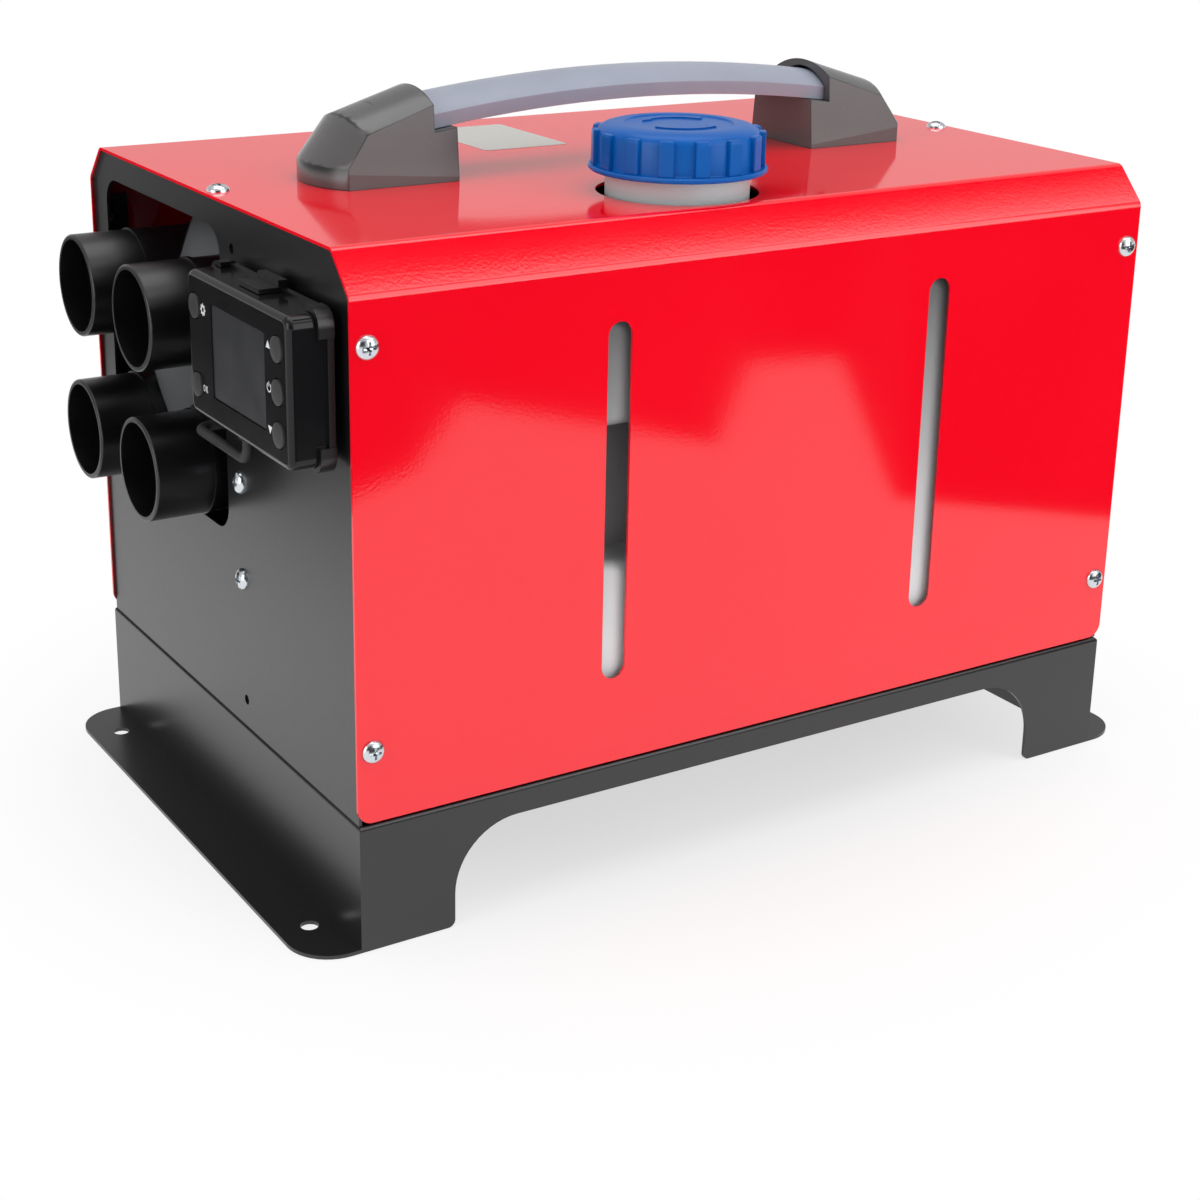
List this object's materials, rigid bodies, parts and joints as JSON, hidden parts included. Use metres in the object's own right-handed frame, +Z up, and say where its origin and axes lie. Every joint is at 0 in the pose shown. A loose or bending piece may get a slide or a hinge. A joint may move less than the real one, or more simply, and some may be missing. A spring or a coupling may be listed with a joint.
{
  "type": "parking heater",
  "caption": "Portable diesel air heater in a folded red steel box with a carrying handle, screw filler cap, round hot air outlets and a small push button display.",
  "frame": {"origin": "centre of the four foot bolt holes, on the floor plane", "axes": "+X along the box from the outlet end to the inlet end, +Y from the slotted front to the back, +Z up"},
  "size_m": [0.4165, 0.257, 0.3026],
  "materials": {
    "frame_black": "satin black powder coat",
    "cover_red": "gloss red enamel",
    "zinc": "bright zinc plate",
    "handle_black": "satin moulded",
    "grip_grey": "clear grey vinyl",
    "tank_white": "milky polyethylene",
    "cap_blue": "gloss moulded",
    "rubber_black": "matt",
    "casing_black": "satin moulded",
    "cast_aluminium": "as cast",
    "plain_steel": "bare steel",
    "outlet_brass": "turned",
    "filter_clear": "clear moulded",
    "display_black": "gloss moulded",
    "button_grey": "soft moulded",
    "screen_grey": "tinted window",
    "board_green": "solder mask"
  },
  "bodies": {
    "housing": {"base_frame": "frame_black", "left_end_panel": "frame_black", "right_end_panel": "frame_black", "divider_plate": "frame_black", "heater_shelf": "frame_black", "outer_cover": "cover_red", "cover_screws": "zinc", "end_panel_screws": "zinc", "base_screws": "zinc", "trim_screws": "zinc", "bracket_screws": "zinc", "handle_bolts": "zinc", "heater_bolts": "zinc", "tank_straps": "zinc", "handle_foot_left": "handle_black", "handle_foot_right": "handle_black", "handle_grip": "grip_grey", "fuel_tank": "tank_white", "tank_pads": "rubber_black", "pump_clamp": "rubber_black", "fuel_hose_tank": "rubber_black", "fuel_hose_filter": "rubber_black", "fuel_hose_pump": "rubber_black", "power_grommet": "rubber_black", "heater_gasket": "rubber_black", "controller_cable": "rubber_black", "heater_lower_shell": "casing_black", "heater_upper_shell": "casing_black", "duct_manifold": "casing_black", "inlet_duct": "casing_black", "inlet_grille": "casing_black", "inlet_trim": "casing_black", "control_unit": "casing_black", "controller_bracket": "casing_black", "heat_exchanger": "cast_aluminium", "blower_housing": "cast_aluminium", "air_stub": "cast_aluminium", "burner_tube": "plain_steel", "burner_fuel_pipe": "plain_steel", "glow_plug": "plain_steel", "blower_motor": "plain_steel", "exhaust_stub": "plain_steel", "fuel_pump": "plain_steel", "tank_outlet": "outlet_brass", "fuel_filter": "filter_clear", "controller_front_case": "display_black", "controller_rear_case": "display_black", "controller_screen": "screen_grey", "controller_board": "board_green"},
    "seal": {"cap_seal": "rubber_black"},
    "cap": {"filler_cap": "cap_blue"},
    "rotor": {"motor_shaft": "plain_steel", "fan_wheel": "casing_black", "combustion_impeller": "cast_aluminium"},
    "key_settings": {"button_settings": "button_grey"},
    "key_ok": {"button_ok": "button_grey"},
    "key_up": {"button_up": "button_grey"},
    "key_power": {"button_power": "button_grey"},
    "key_down": {"button_down": "button_grey"}
  },
  "joints": [
    {"name": "cap_lift", "type": "slide", "parent": "housing", "child": "seal", "axis": [0, 0, 1], "range_m": [0, 0.018]},
    {"name": "cap_turn", "type": "hinge", "parent": "seal", "child": "cap", "pos_m": [-0.02, -0.07775, 0.2805], "axis": [0, 0, 1], "range_deg": [0, 1080]},
    {"name": "rotor_spin", "type": "hinge", "parent": "housing", "child": "rotor", "pos_m": [0.088, 0.04715, 0.1832], "axis": [1, 0, 0], "continuous": true},
    {"name": "press_settings", "type": "slide", "parent": "housing", "child": "key_settings", "axis": [1, 0, 0], "range_m": [0, 0.001], "stiffness_N_per_m": 400, "springref_m": -0.0004},
    {"name": "press_ok", "type": "slide", "parent": "housing", "child": "key_ok", "axis": [1, 0, 0], "range_m": [0, 0.001], "stiffness_N_per_m": 400, "springref_m": -0.0004},
    {"name": "press_up", "type": "slide", "parent": "housing", "child": "key_up", "axis": [1, 0, 0], "range_m": [0, 0.001], "stiffness_N_per_m": 400, "springref_m": -0.0004},
    {"name": "press_power", "type": "slide", "parent": "housing", "child": "key_power", "axis": [1, 0, 0], "range_m": [0, 0.001], "stiffness_N_per_m": 400, "springref_m": -0.0004},
    {"name": "press_down", "type": "slide", "parent": "housing", "child": "key_down", "axis": [1, 0, 0], "range_m": [0, 0.001], "stiffness_N_per_m": 400, "springref_m": -0.0004}
  ],
  "couplings": [
    {"joint": "cap_turn", "follows": "cap_lift", "rad_per_m": 1047.2}
  ]
}
